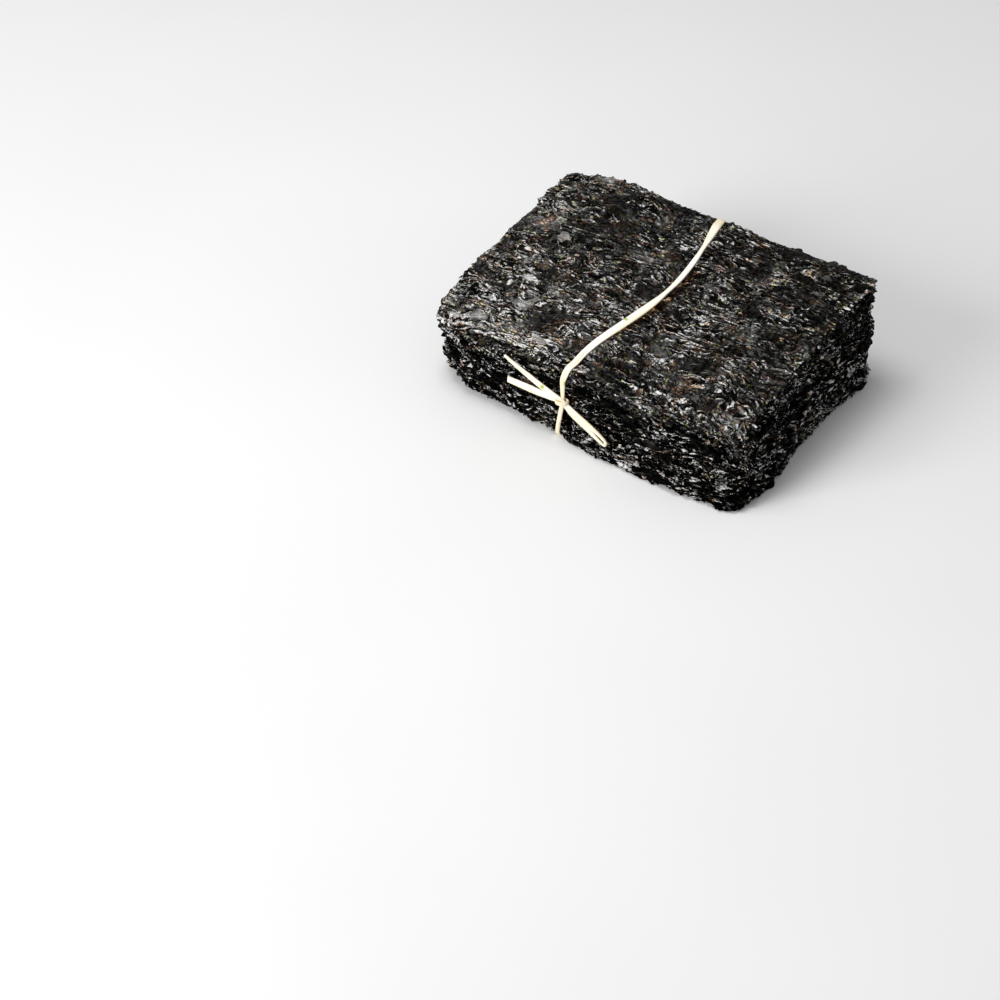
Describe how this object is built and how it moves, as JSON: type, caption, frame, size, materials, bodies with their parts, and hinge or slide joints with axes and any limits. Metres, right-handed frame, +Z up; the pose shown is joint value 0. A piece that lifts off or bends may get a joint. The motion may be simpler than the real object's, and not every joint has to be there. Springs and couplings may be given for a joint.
{
  "type": "nori sheet bundle",
  "caption": "Squared stack of rough, near-black dried seaweed sheets with torn edges, bound round the middle with one flat pale straw that is knotted on the front side.",
  "frame": {"origin": "middle of the underside of the whole bundle, on the surface it lies on", "axes": "+X along the sheets' long side, +Y from the knotted front side to the back, +Z up through the stack"},
  "size_m": [0.2812, 0.2038, 0.0937],
  "materials": {
    "nori": "crinkled, dull to semi-gloss, near black",
    "straw": "dry straw, satin, pale cream"
  },
  "bodies": {
    "root": {"nori_bundle": "nori", "straw_tie": "straw"}
  },
  "joints": []
}
